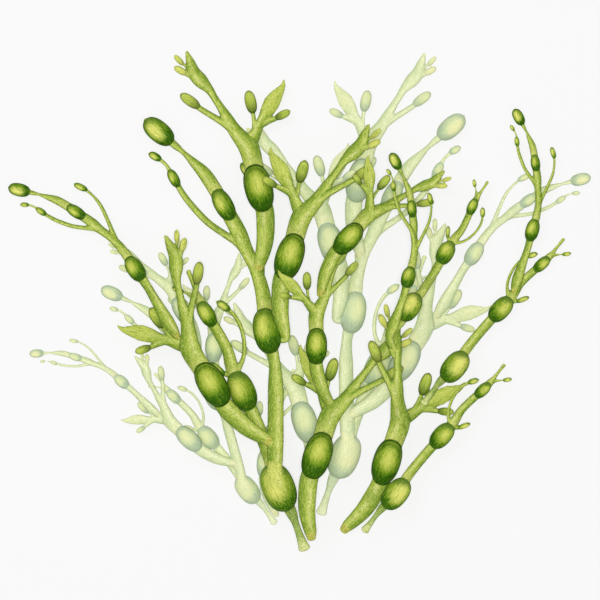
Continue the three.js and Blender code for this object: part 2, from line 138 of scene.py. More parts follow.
# A pale frond is the same growth as a green one. It is carried from the main frond's foot to a new
# place, given as (place, turn anticlockwise, scale, mirrored).
FOOT = (-12.6, -112.8)
FAR_LEFT = ((-31.3, -114.6), 16, 0.638, False)

# The part's origin, as shoots are placed: the middle of the whole fan.
MIDDLE = (-0.3, -0.3)

# Thicknesses as shares of widths or in millimetres, and how blades, bladders and tips are shaped.
BLADDER_DEPTH = 0.74
STRAP_BASE = 1.6
STRAP_SHARE = 0.25
STALK_SHARE = 0.8
BLADE_DEPTH = 1.5
LEAF_EASE = 8
BARREL = 2.3
TIP_WIDTH = 0.9
PRESSED_FLAT = 0.7
# Where the painted highlight lies across a side limb's strap, as a share of its half width to the left.
SIDE_STRAP_HIGHLIGHT = 0.25

# How closely a limb is followed, and how its strap settles on what lies below it. The heights of what
# lies below are kept in maps of one square millimetre to a cell.
PARTS_PER_SPAN = 16
STEP = 2
LEAST_STEPS = 4
PROBE_STEP = 0.7
CLEARANCE = 1.1
SAG = 0.004
SETTLING_ROUNDS = 3000
EASE = 3
GROWN_TOGETHER = 13
SEATED = 0.3
MAP_HALF = (200, 180)
COLUMNS = 2 * MAP_HALF[0]
ROWS = 2 * MAP_HALF[1]
SAMPLE_DEEP = 3


def set_down(point, to, turn, size, mirrored, about=(0, 0)):
    """Flips, turns and scales a point about another, and sets it down at its new place."""
    angle = math.radians(turn)
    dx = (point[0] - about[0]) * (-1 if mirrored else 1)
    dy = point[1] - about[1]
    return (
        to[0] + size * (dx * math.cos(angle) - dy * math.sin(angle)),
        to[1] + size * (dx * math.sin(angle) + dy * math.cos(angle)),
    )


def smooth_path(points):
    """A centripetal curve through (x, y, width) points, PARTS_PER_SPAN to a span."""
    points = np.array(points, float)
    first = 2 * points[0] - points[1]
    last = 2 * points[-1] - points[-2]
    around = np.vstack([first, points, last])
    spans = np.maximum(np.linalg.norm(np.diff(around, axis=0), axis=1) ** 0.5, 1e-4)
    share = (np.arange(PARTS_PER_SPAN) / PARTS_PER_SPAN)[:, None]
    curve = []
    for i in range(1, len(around) - 2):
        a, b, c, d = around[i - 1:i + 3]
        before, here, after = spans[i - 1:i + 2]
        leave = here * ((b - a) / before - (c - a) / (before + here) + (c - b) / here)
        arrive = here * ((c - b) / here - (d - b) / (here + after) + (d - c) / after)
        square = 3 * (c - b) - 2 * leave - arrive
        cube = 2 * (b - c) + leave + arrive
        curve.append(b + share * (leave + share * (square + share * cube)))
    return np.vstack(curve + [points[-1:]])


class Limb:
    """One limb at its place in the fan, read by the distance run along it."""

    def __init__(self, limb, place, scale, hand, look, lead=(), skip=0):
        path, floats, self.parent, leaf = limb
        self.hand = hand
        self.look = look
        self.cut_end = self.parent is None and not lead
        own = [(*place(p[:2]), p[2] * scale) for p in path[skip:]]
        self.curve = smooth_path([*lead, *own])
        gaps = np.hypot(*np.diff(self.curve[:, :2], axis=0).T)
        self.run = np.concatenate([[0], np.cumsum(gaps)])
        ahead = len(lead) - skip
        self.leaf_from = math.inf if leaf is None else self.run[(leaf + ahead) * PARTS_PER_SPAN]
        self.floats = [
            (self.run[(point + ahead) * PARTS_PER_SPAN], long * scale / 2, wide * scale, ripe)
            for point, long, wide, ripe in floats
        ]
        count = max(LEAST_STEPS, math.ceil(self.run[-1] / STEP))
        self.stops = np.linspace(0, self.run[-1], count + 1)

    def at(self, s):
        """x, y, strap width and strap thickness at the distances s, and the unit vector to the side."""
        x, y, strap = (np.interp(s, self.run, self.curve[:, k]) for k in range(3))
        wide = np.maximum(strap, TIP_WIDTH)
        leaf = self.leafy(s)
        deep = np.minimum(wide * STALK_SHARE, STRAP_BASE + wide * STRAP_SHARE) * (1 - leaf)
        deep += np.minimum(wide * STALK_SHARE, BLADE_DEPTH) * leaf
        dx, dy = np.gradient(x), np.gradient(y)
        long = np.hypot(dx, dy)
        return x, y, wide, deep, -dy / long, dx / long

    def leafy(self, s):
        """How far the limb has thinned out into a blade."""
        return np.clip((s - self.leaf_from) / LEAF_EASE, 0, 1)

    def swollen(self, s, wide, deep):
        """Width and thickness with the bladders and clubs added."""
        for middle, half, widest, _ in self.floats:
            off = np.minimum(np.abs(s - middle) / half, 1)
            swell = widest * (1 - off ** BARREL) ** (1 / BARREL)
            wide = np.maximum(wide, swell)
            deep = np.maximum(deep, swell * BLADDER_DEPTH)
        return wide, deep

    def sample(self):
        """Its x, y, width, thickness and side at every stop, the thickness in column SAMPLE_DEEP."""
        x, y, wide, deep, nx, ny = self.at(self.stops)
        wide, deep = self.swollen(self.stops, wide, deep)
        self.samples = np.column_stack([x, y, wide, deep, nx, ny])


def across(sample):
    """Places across a sample's width, and half its thickness there."""
    x, y, wide, deep, nx, ny = sample
    steps = max(2, math.ceil(wide / PROBE_STEP))
    off = np.linspace(-1, 1, steps + 1)
    side = off * wide / 2
    return x + nx * side, y + ny * side, deep / 2 * np.sqrt(1 - off * off)


def cell_of(x, y):
    """The number of the square millimetre that a point lies on, in a map of heights."""
    return np.floor(y + MAP_HALF[1]).astype(int) * COLUMNS + np.floor(x + MAP_HALF[0]).astype(int)


def held_at(sample, height_maps):
    """The least height of a sample's middle that clears the surface and what lies below it."""
    x, y, depth = across(sample)
    cells = cell_of(x, y)
    least = sample[SAMPLE_DEEP] / 2 - PRESSED_FLAT
    for height_map in height_maps:
        top = height_map[cells]
        if (top > 0).any():
            least = max(least, (top + CLEARANCE + depth)[top > 0].max())
    return least


def lay_down(height_map, limb):
    """Raises a map of heights to the top of a limb."""
    for sample, z in zip(limb.samples, limb.height):
        x, y, depth = across(sample)
        cells = cell_of(x, y)
        for step in (0, 1, -1, COLUMNS, -COLUMNS):
            np.maximum.at(height_map, cells + step, z + depth)


def settle(limbs, height_maps, own_map, root_height):
    """Lets a shoot down onto what is below it, as a stiff strap that sags a little."""
    held = []
    links = []
    root = limbs[0].samples[0]
    for limb in limbs:
        limb.knots = []
        for i, sample in enumerate(limb.samples):
            if i == 0 and limb.parent is not None:
                limb.knots.append(limbs[limb.parent].knots[limb.parent_sample])
                continue
            near = root_height is not None and math.dist(sample[:2], root[:2]) < GROWN_TOGETHER
            held.append(held_at(sample, height_maps if near else height_maps + [own_map]))
            limb.knots.append(len(held) - 1)
        links += list(zip(limb.knots, limb.knots[1:]))
    neighbours = [[] for _ in held]
    for a, b in links:
        neighbours[a].append(b)
        neighbours[b].append(a)
    most = max(len(row) for row in neighbours)
    padded = np.array([row + [len(held)] * (most - len(row)) for row in neighbours])
    count = np.array([len(row) for row in neighbours])
    held = np.array(held)
    for _ in range(EASE):
        held = np.maximum(held, np.append(held, -np.inf)[padded].max(axis=1))
    drop = SAG * STEP * STEP / 2
    z = np.append(held, 0.0)
    for _ in range(SETTLING_ROUNDS):
        z[:-1] = np.maximum(held, z[padded].sum(axis=1) / count - drop)
        if root_height is not None:
            z[0] = root_height
    for limb in limbs:
        own = z[limb.knots]
        last = len(own) - 1
        reach = [min(EASE, i, last - i) for i in range(last + 1)]
        limb.height = np.array([own[i - r:i + r + 1].mean() for i, r in enumerate(reach)])
    for limb in limbs:
        if limb.parent is None:
            continue
        step = limbs[limb.parent].height[limb.parent_sample] - limb.height[0]
        fade = 1 - np.arange(EASE + 1) / (EASE + 1)
        limb.height[:EASE + 1] += step * fade


def nearest(samples, point):
    return int(np.hypot(samples[:, 0] - point[0], samples[:, 1] - point[1]).argmin())


def grow(shoots, group, height_maps):
    """Works out a frond's limbs at their places, and lets its shoots down one after another."""
    _, _, group_scale, group_mirrored = group
    own_map = np.full(COLUMNS * ROWS, -1.0)
    done = []
    for form, at, turn, size, mirrored, on, lead, skip in shoots:
        limb_forms, look = form
        scale = size * group_scale
        hand = -1 if mirrored != group_mirrored else 1

        def place(point):
            return set_down(set_down(point, at, turn, size, mirrored), *group, about=FOOT)

        led = [(*set_down((x, y), *group, about=FOOT), width * group_scale) for x, y, width in lead]
        limbs = []
        for limb_form in limb_forms:
            limb = Limb(limb_form, place, scale, hand, look, *(() if limbs else (led, skip)))
            limb.sample()
            if limb.parent is not None:
                root = limb_form[0][0][:2]
                limb.parent_sample = nearest(limbs[limb.parent].samples, place(root))
            limbs.append(limb)
        root_height = None
        if on is not None:
            carriers = np.vstack([limb.samples for limb in done[on]])
            heights = np.concatenate([limb.height for limb in done[on]])
            carrier = nearest(carriers, limbs[0].samples[0])
            root_height = heights[carrier] + carriers[carrier][SAMPLE_DEEP] * SEATED
        settle(limbs, height_maps, own_map, root_height)
        for limb in limbs:
            lay_down(own_map, limb)
        done.append(limbs)
    height_maps.append(own_map)
    return [limb for limbs in done for limb in limbs]


RING_STEP = 0.8
SIDES = 20
ROUND_CAP = 5
BARREL_RINGS = 23


def tube(centre, side, half_wide, half_deep):
    """A closed oval tube through the centres, with rounded ends, as vertices and faces."""
    along = centre[[0, -1]] - centre[[1, -2]]
    along /= np.linalg.norm(along, axis=1)[:, None]
    rings = [(centre[i], side[i], half_wide[i], half_deep[i]) for i in range(len(centre))]
    for end, out in ((0, along[0]), (-1, along[1])):
        cap = []
        for k in range(1, ROUND_CAP):
            angle = math.pi / 2 * k / ROUND_CAP
            reach = min(half_wide[end], half_deep[end]) * math.sin(angle)
            shrink = math.cos(angle)
            wide, deep = half_wide[end] * shrink, half_deep[end] * shrink
            cap.append((centre[end] + out * reach, side[end], wide, deep))
        rings = cap[::-1] + rings if end == 0 else rings + cap
    turn = 2 * math.pi * np.arange(SIDES) / SIDES
    up = np.array([0, 0, 1.0])
    vertices = np.vstack([
        middle + np.outer(np.cos(turn) * wide, sideways) + np.outer(np.sin(turn) * deep, up)
        for middle, sideways, wide, deep in rings
    ])
    faces = []
    for i in range(len(rings) - 1):
        for k in range(SIDES):
            a, b = i * SIDES + k, i * SIDES + (k + 1) % SIDES
            faces.append((a, b, b + SIDES, a + SIDES))
    faces.append(tuple(range(SIDES - 1, -1, -1)))
    top = (len(rings) - 1) * SIDES
    faces.append(tuple(range(top, top + SIDES)))
    return vertices, faces


def barrel(middle, half_long, half_wide, half_deep, direction):
    """A closed barrel-like bladder, as a tube of its own with its long axis along direction."""
    share = np.sin(np.linspace(-math.pi / 2, math.pi / 2, BARREL_RINGS + 2)[1:-1])
    swell = (1 - np.abs(share) ** BARREL) ** (1 / BARREL)
    centre = middle + np.outer(share * half_long, direction)
    side = np.tile([-direction[1], direction[0], 0] / np.hypot(*direction[:2]), (len(share), 1))
    return tube(centre, side, swell * half_wide, swell * half_deep)


LEAST_RINGS = 8
EASING_ROUNDS = 2
DIRECTION_SHARE = 0.6
SHOULDER_SHARE = 0.8
SPREAD_REACH = 30
FAR = 99.0


class Route:
    """The middle line of every limb of one frond, and its bladders, for the mesh and for its colours."""

    def __init__(self, limbs):
        self.shells = []
        self.bladders = []
        lines = [self.follow(number, limb) for number, limb in enumerate(limbs)]
        self.line = {key: np.concatenate([line[key] for line in lines]) for key in lines[0]}
        self.spreads = []
        for limb, line in zip(limbs, lines):
            if limb.parent is None and not limb.cut_end and self.leaves_a_top(line["centre"][0]):
                near = line["from_foot"] < SPREAD_REACH
                self.spreads.append({key: values[near] for key, values in line.items()})

    def follow(self, number, limb):
        """Adds a limb's shells and bladders, and gives what is known at places along its middle line."""
        s = np.linspace(0, limb.run[-1], max(LEAST_RINGS, math.ceil(limb.run[-1] / RING_STEP)))
        x, y, wide, deep, nx, ny = limb.at(s)
        z = np.interp(s, limb.stops, limb.height)
        for _ in range(EASING_ROUNDS):
            z[1:-1] = (z[:-2] + z[1:-1] * 2 + z[2:]) / 4
        centre = np.column_stack([x - MIDDLE[0], y - MIDDLE[1], z])
        side = np.column_stack([nx, ny, np.zeros(len(s))])
        self.shells.append(tube(centre, side, wide / 2, deep / 2))
        above = np.full(len(s), FAR)
        below_first = np.zeros(len(s), bool)
        for middle, half, swell, ripe in limb.floats:
            self.add_bladder(limb, s, centre, middle, half, swell, ripe)
            past = s - middle - half * SHOULDER_SHARE
            above = np.where(past > 0, np.minimum(above, past), above)
        if limb.parent is None and limb.floats:
            below_first = s < limb.floats[0][0]
        wide, deep = limb.swollen(s, wide, deep)
        return {
            "centre": centre,
            "side": side[:, :2],
            "half_wide": wide / 2,
            "half_deep": deep / 2,
            "limb": np.full(len(s), number),
            "hand": np.full(len(s), limb.hand),
            "from_foot": s,
            "to_tip": limb.run[-1] - s,
            "above_float": above,
            "leaf": limb.leafy(s),
            "from_cut": s if limb.cut_end else np.full(len(s), FAR),
            "stem": below_first * float(limb.cut_end * limb.look["stem"]),
            # Where the painted highlight lies across the strap, as a share of its half width to the left.
            "lightest": np.where(below_first, limb.look["strap_highlight"], SIDE_STRAP_HIGHLIGHT),
        }

    def add_bladder(self, limb, s, centre, middle, half, swell, ripe):
        """Adds a bladder or club at the distance middle along a limb."""
        def point_at(distance):
            return np.array([np.interp(distance, s, centre[:, k]) for k in range(3)])

        reach = half * DIRECTION_SHARE
        direction = point_at(middle + reach) - point_at(middle - reach)
        direction /= np.linalg.norm(direction)
        half_deep = swell * BLADDER_DEPTH / 2
        self.shells.append(barrel(point_at(middle), half, swell / 2, half_deep, direction))
        self.bladders.append({
            "middle": point_at(middle),
            "direction": direction,
            "half_long": half,
            "egg_half": swell / 2,
            "half_deep": half_deep,
            "hand": limb.hand,
            "ripe": ripe,
            # How far to the left the bladder's painted highlight lies.
            "light_side": limb.look["bladder_highlight_offset"],
            "cap": limb.look["cap"],
            "club": limb.look["clubs"] * (limb.parent is not None),
        })

    def leaves_a_top(self, foot):
        """Whether a strap's foot lies in the upper half of a bladder."""
        return any(
            math.dist(foot, bladder["middle"]) < bladder["half_long"]
            and (foot - bladder["middle"]) @ bladder["direction"] > 0
            for bladder in self.bladders
        )


def mesh_of(name, vertices, faces):
    mesh = bpy.data.meshes.new(name)
    mesh.from_pydata(vertices.tolist(), [], faces)
    mesh.update()
    return mesh


def modified(mesh, kind, **settings):
    """The mesh as one modifier leaves it."""
    carrier = bpy.data.objects.new("working", mesh)
    bpy.context.scene.collection.objects.link(carrier)
    modifier = carrier.modifiers.new("working", kind)
    for key, value in settings.items():
        setattr(modifier, key, value)
    graph = bpy.context.evaluated_depsgraph_get()
    result = bpy.data.meshes.new_from_object(carrier.evaluated_get(graph))
    bpy.data.objects.remove(carrier)
    bpy.data.meshes.remove(mesh)
    return result


def positions(mesh):
    flat = np.empty(len(mesh.vertices) * 3)
    mesh.vertices.foreach_get("co", flat)
    return flat.reshape(-1, 3)


def edges_of(mesh):
    flat = np.empty(len(mesh.edges) * 2, int)
    mesh.edges.foreach_get("vertices", flat)
    return flat.reshape(-1, 2)


def relaxed(values, edges, count, amounts):
    """Moves every value towards, or for a negative amount away from, the mean of its neighbours."""
    degree = np.bincount(edges.ravel(), minlength=count)[:, None]
    for amount in amounts:
        total = np.column_stack([
            np.bincount(edges[:, 0], values[edges[:, 1], k], count)
            + np.bincount(edges[:, 1], values[edges[:, 0], k], count)
            for k in range(values.shape[1])
        ])
        values = values + amount * (total / degree - values)
    return values


VOXEL = 0.5
SMOOTHING = [0.5, -0.53] * 6


def fused(name, route, most_triangles):
    """The limbs and bladders grown together into one smooth skin, flat where it touches the surface."""
    vertices = []
    faces = []
    for shell_vertices, shell_faces in route.shells:
        start = sum(len(v) for v in vertices)
        vertices.append(shell_vertices)
        faces += [tuple(i + start for i in face) for face in shell_faces]
    rough = mesh_of(name, np.vstack(vertices) * MM, faces)
    skin = modified(rough, "REMESH", mode="VOXEL", voxel_size=VOXEL * MM, adaptivity=0)
    edges = edges_of(skin)
    smooth = relaxed(positions(skin), edges, len(skin.vertices), SMOOTHING)
    skin.vertices.foreach_set("co", smooth.ravel())
    skin.update()
    triangles = 2 * len(skin.polygons)
    if triangles > most_triangles:
        skin = modified(skin, "DECIMATE", ratio=most_triangles / triangles)
    pressed = positions(skin)
    pressed[:, 2] = np.maximum(pressed[:, 2], 0)
    skin.vertices.foreach_set("co", pressed.ravel())
    skin.shade_smooth()
    skin.name = name
    return skin


BATCH = 4000
ALONG_WEIGHT = 1.2


def nearest_on(line, points):
    """For every point the place on the middle lines whose oval section it fits best."""
    centre = line["centre"]
    side = line["side"]
    ahead = np.column_stack([side[:, 1], -side[:, 0]])
    chosen = np.empty(len(points), int)
    for start in range(0, len(points), BATCH):
        p = points[start:start + BATCH]
        along = p[:, :2] @ ahead.T - (centre[:, :2] * ahead).sum(axis=1)
        beside = (p[:, :2] @ side.T - (centre[:, :2] * side).sum(axis=1)) / line["half_wide"]
        above = (p[:, 2:3] - centre[:, 2]) / line["half_deep"]
        misfit = ALONG_WEIGHT * along * along + beside * beside + above * above
        chosen[start:start + BATCH] = misfit.argmin(axis=1)
    return chosen


def step_between(low, high, value):
    """0 below low, 1 above high, smooth between them."""
    share = np.clip((value - low) / (high - low), 0, 1)
    return share * share * (3 - 2 * share)


SPREAD_SIDE = (0.8, 1.15)
SPREAD_END = (0, 9)


def spread_over(points, spreads):
    """Where a strap that grows out of the upper end of a bladder spreads over the bladder."""
    cover = np.zeros(len(points))
    for line in spreads:
        centre = line["centre"][:, :2]
        near = np.flatnonzero(np.hypot(*(points[:, :2] - centre[0]).T) < SPREAD_REACH)
        closest = np.hypot(*(points[near, None, :2] - centre).transpose(2, 0, 1)).argmin(axis=1)
        off = points[near, :2] - centre[closest]
        half = line["half_wide"][closest]
        sideways = np.abs((off * line["side"][closest]).sum(axis=1)) / half
        behind = np.hypot(*off.T) - sideways * half
        cover[near] = (1 - step_between(*SPREAD_SIDE, sideways)) * (1 - step_between(*SPREAD_END, behind))
    return cover


MARK_REACH = 40
MARGIN_REACH = 9
FIT_REACH = 9.0
BY_BLADDER = 1.3
GRAIN_SHIFT = 53
MARK_SMOOTHING = [0.5] * 3
COPIED = ("egg_half", "ripe", "light_side", "cap", "club")


def mark_bladders(points, bladders):
    """Where each point lies on its nearest bladder, as shares of the bladder's size, and its looks."""
    marks = {name: np.zeros(len(points)) for name in ("egg_along", "egg_left", *COPIED)}
    fits = np.full(len(points), FIT_REACH)
    for bladder in bladders:
        ux, uy, uz = bladder["direction"]
        half_long = bladder["half_long"]
        off = points - bladder["middle"]
        along = (off @ bladder["direction"]) / half_long
        left = (off[:, 1] * ux - off[:, 0] * uy) / (bladder["egg_half"] * math.hypot(ux, uy))
        up = (off[:, 2] - uz * along * half_long) / bladder["half_deep"]
        fit = (np.abs(along) ** BARREL + np.hypot(left, up) ** BARREL) ** (1 / BARREL)
        better = fit < fits
        fits[better] = fit[better]
        marks["egg_along"][better] = along[better]
        marks["egg_left"][better] = left[better] * bladder["hand"]
        for name in COPIED:
            marks[name][better] = bladder[name]
    marks["by_egg"] = (fits < BY_BLADDER).astype(float)
    return marks


def mark(mesh, route):
    """Writes on the skin where each point lies on its limb and on the nearest bladder, for the colours."""
    points = positions(mesh) / MM
    nearest_place = nearest_on(route.line, points)
    line = {key: values[nearest_place] for key, values in route.line.items()}
    off = points - line["centre"]
    sideways = (off[:, :2] * line["side"]).sum(axis=1)
    half = line["half_wide"]
    marks = {
        "strap_left": np.clip(sideways / half, -1, 1) * line["hand"],
        "strap_margin": np.clip(half - np.abs(sideways), 0, MARGIN_REACH),
        "strap_half": half,
        "to_tip": np.minimum(line["to_tip"], MARK_REACH),
        "above_float": np.minimum(line["above_float"], MARK_REACH),
        "leaf": line["leaf"],
        "from_cut": np.minimum(line["from_cut"], MARK_REACH),
        "stem": line["stem"],
        "lightest": line["lightest"],
        "spread": spread_over(points, route.spreads),
    }
    table = np.column_stack(list(marks.values()))
    smooth = relaxed(table, edges_of(mesh), len(points), MARK_SMOOTHING)
    marks = {**dict(zip(marks, smooth.T)), **mark_bladders(points, route.bladders)}
    for name, values in marks.items():
        layer = mesh.attributes.new(name, "FLOAT", "POINT")
        layer.data.foreach_set("value", np.ascontiguousarray(values))
    grain = np.column_stack([line["from_foot"] + line["limb"] * GRAIN_SHIFT, sideways, off[:, 2]])
    layer = mesh.attributes.new("grain", "FLOAT_VECTOR", "POINT")
    layer.data.foreach_set("vector", grain.ravel())


class Signal:
    """A socket of a material's nodes. Sums, products and powers of signals add Math nodes."""

    def __init__(self, tree, socket=None):
        self.tree = tree
        self.socket = socket

    def node(self, kind, settings, sockets, output=0):
        """Adds a node: its settings first, then the values or signals of its sockets."""
        made = self.tree.nodes.new(kind)
        for key, value in settings.items():
            if key == "stops":
                ramp = made.color_ramp.elements
                while len(ramp) < len(value):
                    ramp.new(0.5)
                for stop, (place, tint) in zip(ramp, value):
                    stop.position = place
                    stop.color = tint
            else:
                setattr(made, key, value)
        for key, value in sockets.items():
            if isinstance(value, Signal):
                self.tree.links.new(value.socket, made.inputs[key])
            else:
                made.inputs[key].default_value = value
        return Signal(self.tree, made.outputs[output] if made.outputs else None)

    def maths(self, operation, *values):
        return self.node("ShaderNodeMath", {"operation": operation}, dict(enumerate(values)))

    def __add__(self, other):
        return self.maths("ADD", self, other)

    def __sub__(self, other):
        return self.maths("SUBTRACT", self, other)

    def __rsub__(self, other):
        return self.maths("SUBTRACT", other, self)

    def __mul__(self, other):
        return self.maths("MULTIPLY", self, other)

    def __pow__(self, other):
        return self.maths("POWER", self, other)

    def __abs__(self):
        return self.maths("ABSOLUTE", self)

    __radd__ = __add__
    __rmul__ = __mul__

    def between(self, low, high):
        """0 below low, 1 above high, smooth between them; falls instead where low is above high."""
        sockets = {"Value": self, "From Min": low, "From Max": high}
        settings = {"interpolation_type": "SMOOTHSTEP"}
        if low > high:
            sockets.update({"From Min": high, "From Max": low, "To Min": 1.0, "To Max": 0.0})
        return self.node("ShaderNodeMapRange", settings, sockets)


def colour(red, green, blue):
    """A colour given from 0 to 255, as the linear values that the sRGB curve makes of it."""
    def linear(value):
        value /= 255
        return value / 12.92 if value <= 0.04045 else ((value + 0.055) / 1.055) ** 2.4
    return (linear(red), linear(green), linear(blue), 1.0)


def mixed(a, b, factor, strength=1.0):
    """Colour a, going over to colour b as the factor goes from 0 to 1, as far as the strength."""
    return factor.node("ShaderNodeMix", {"data_type": "RGBA"}, {0: factor * strength, 6: a, 7: b}, output=2)


# A band is where a change of colour begins and where it is complete. Places across a strap or bladder
# are shares of its half width, places along a bladder shares of its half length from -1 at its foot to 1
# at its top, and lengths are millimetres.
NOISE_MEAN = 0.5
STROKE_STRETCH = (0.28, 1.9, 1.9)
HATCHING_STRETCH = (0.16, 0.9, 0.9)

WASH_SHIFT = 0.5
STRAP_MIDDLE_BAND = (0.1, 0.7)
STRAP_SHADE_BAND = (0.5, 1.15)
WASH_BAND = (0.5, 0.7)
STREAK_BAND = (0.25, 0.05)
STREAK_PATCH_BAND = (0.42, 0.56)
STREAK_WIDTH_BAND = (1.5, 3.5)
TAN_BAND = (11.0, 1.0)
BUD_BAND = (9.0, 0.5)
NECK_BAND = (8.0, 20.0)
STEM_END_BAND = (9.0, 1.0)
STRAP_END_BAND = (5.0, 2.0)
EDGE_BAND = (0.9, 0.1)
EDGE_WIDTH_BAND = (0.4, 2.5)


def strap_colour(tints, attribute, patches, wash):
    """A strap has a light band of painted highlight and darker sides of painted shade, is tan above a
    bladder, and has a thin dark edge of painted shade.
    """
    half = attribute("strap_half")
    # How far a point lies across the strap from its band of painted highlight, wandering a little.
    from_light = abs(attribute("strap_left") - attribute("lightest") + (wash - NOISE_MEAN) * WASH_SHIFT)
    strap = mixed(tints["strap_highlight"], tints["strap"], from_light.between(*STRAP_MIDDLE_BAND))
    # Painted shade darkens the side away from the painted highlight; the wash after it is random darker
    # mottling.
    strap = mixed(strap, tints["strap_shade_and_mottle"], from_light.between(*STRAP_SHADE_BAND), strength=0.95)
    strap = mixed(strap, tints["strap_shade_and_mottle"], wash.between(*WASH_BAND), strength=0.4)
    # A painted highlight streak along the strap's light band.
    highlight_streak = from_light.between(*STREAK_BAND) * patches.between(*STREAK_PATCH_BAND)
    strap = mixed(strap, tints["highlight_streak"], highlight_streak * half.between(*STREAK_WIDTH_BAND), strength=0.55)
    strap = mixed(strap, tints["tan"], attribute("above_float").between(*TAN_BAND), strength=0.55)
    strap = mixed(strap, tints["leaf"], attribute("leaf"), strength=0.75)
    strap = mixed(strap, tints["bud"], attribute("to_tip").between(*BUD_BAND), strength=0.4)
    stem = attribute("stem")
    from_cut = attribute("from_cut")
    strap = mixed(strap, tints["stem"], stem, strength=0.75)
    strap = mixed(strap, tints["cap"], stem * from_cut.between(*NECK_BAND), strength=0.55)
    strap = mixed(strap, tints["cut_stem"], stem * from_cut.between(*STEM_END_BAND), strength=0.9)
    strap = mixed(strap, tints["cut_strap"], (1 - stem) * from_cut.between(*STRAP_END_BAND), strength=0.9)
    # A thin dark edge of painted shade where the strap's surface turns away.
    edge_shade_line = attribute("strap_margin").between(*EDGE_BAND) * half.between(*EDGE_WIDTH_BAND)
    return mixed(strap, tints["edge"], edge_shade_line, strength=0.8)


CORE_AHEAD = 0.2
CORE_ALONG = 0.6
CORE_ACROSS = 0.85
CAP_SOFTENS = 0.12
RIPE_CAP_SOFTENS = 0.22
SMALL_BAND = (3.0, 1.5)
SMALL_SOFTENS = 0.3
FOOT_BAND = (0.0, -0.85)
FOOT_SHADE = 0.55
RIPE_GRAIN = 0.6
RIPE_CAP = 0.15
RIPE_CURVE = 0.5
RIPE_BAND = (0.65, 0.1)
RIPE_FOOT_BAND = (-0.85, -0.15)
CAP_TILT = 1.3
CAP_GRAIN = 0.4
CAP_BAND = (0.45, 0.85)
UPPER_BAND = (0.1, 0.5)
LARGE_BAND = (3.5, 6.0)
CRESCENT_BAND = (0.66, 0.84)
LINE_INNER_BAND = (0.83, 0.88)
LINE_OUTER_BAND = (0.95, 0.9)
LINE_PATCH_BAND = (0.35, 0.55)
CLUB_TOP_BAND = (0.1, 0.9)
CLUB_GRAIN = 0.6
CLUB_FOOT_BAND = (0.25, -0.85)
RIM_BAND = (0.9, 0.15)
RIM_WIDTH_BAND = (0.8, 4.0)
CAP_RIM_FADE = 0.45
CLUB_RIM_FADE = 0.2


def bladder_colour(tints, attribute, patches, radius, rough):
    """A bladder has a painted highlight at its core and painted shade at its foot and rim, with a dark cap
    or a dark crescent of painted shade at its top and a thin line of painted highlight inside the crescent.
    A club goes from dark at its foot to light at its tip. Gives the colour, and how far it is shaded."""
    along = attribute("egg_along")
    beside = attribute("egg_left")
    half = attribute("egg_half")
    light_side = attribute("light_side")
    cap = attribute("cap")
    ripe = attribute("ripe")
    club = attribute("club")

    # The painted highlight's core sits a little towards the top and towards the lit side.
    give = 1 - radius * radius
    ahead = along - give * CORE_AHEAD
    aside = beside - give * light_side
    from_core = (ahead * ahead * CORE_ALONG + aside * aside * CORE_ACROSS) ** 0.5
    soft = 1 - cap * cap * (ripe * RIPE_CAP_SOFTENS + CAP_SOFTENS)
    soft = soft * (1 - half.between(*SMALL_BAND) * SMALL_SOFTENS)
    # How far a point lies in painted shade: out from the highlighted core, and towards the foot.
    shade = (from_core + along.between(*FOOT_BAND) * FOOT_SHADE) * soft + rough
    bladder = shade.node("ShaderNodeValToRGB", {"stops": tints["bladder"]}, {0: shade}, "Color")
    # The ripe tint round the core is partly the bladder's real yellowing and partly a painted highlight.
    ripened = (from_core + rough * RIPE_GRAIN - cap * RIPE_CAP).between(*RIPE_BAND)
    ripened = ripened * along.between(*RIPE_FOOT_BAND)
    bladder = mixed(bladder, tints["ripe"], ripe ** RIPE_CURVE * ripened, strength=0.9)
    # A cap of painted shade over the top, reaching further down on the side away from the painted
    # highlight.
    capped = (along - beside * light_side * CAP_TILT + rough * CAP_GRAIN).between(*CAP_BAND)
    bladder = mixed(bladder, tints["cap"], cap * capped, strength=0.85)
    # On bladders with no cap, a crescent of painted shade near the top rim, and inside it a thin line of
    # painted highlight.
    upper = (1 - cap) * along.between(*UPPER_BAND) * half.between(*LARGE_BAND)
    bladder = mixed(bladder, tints["rim"], upper * radius.between(*CRESCENT_BAND), strength=0.55)
    top_highlight_line = radius.between(*LINE_INNER_BAND) * radius.between(*LINE_OUTER_BAND)
    top_highlight_line = top_highlight_line * patches.between(*LINE_PATCH_BAND)
    bladder = mixed(bladder, tints["strap"], upper * top_highlight_line, strength=0.5)

    club_end = mixed(tints["club"], tints["ripe"], along.between(*CLUB_TOP_BAND), strength=0.35)
    club_foot = (along + rough * CLUB_GRAIN).between(*CLUB_FOOT_BAND)
    club_end = mixed(club_end, tints["rim"], club_foot, strength=0.8)
    club_end = mixed(club_end, tints["ripe"], ripe, strength=0.75)
    bladder = mixed(bladder, club_end, club)

    # A thin dark line of painted shade round the bladder's outline.
    rim_shade_line = ((1 - radius) * half).between(*RIM_BAND) * half.between(*RIM_WIDTH_BAND)
    rim_shade_line = rim_shade_line * (1 - cap * CAP_RIM_FADE) * (1 - club * CLUB_RIM_FADE)
    rim_shade_tint = mixed(tints["rim"], tints["cap"], cap, strength=0.6)
    return mixed(bladder, rim_shade_tint, rim_shade_line, strength=0.9), shade


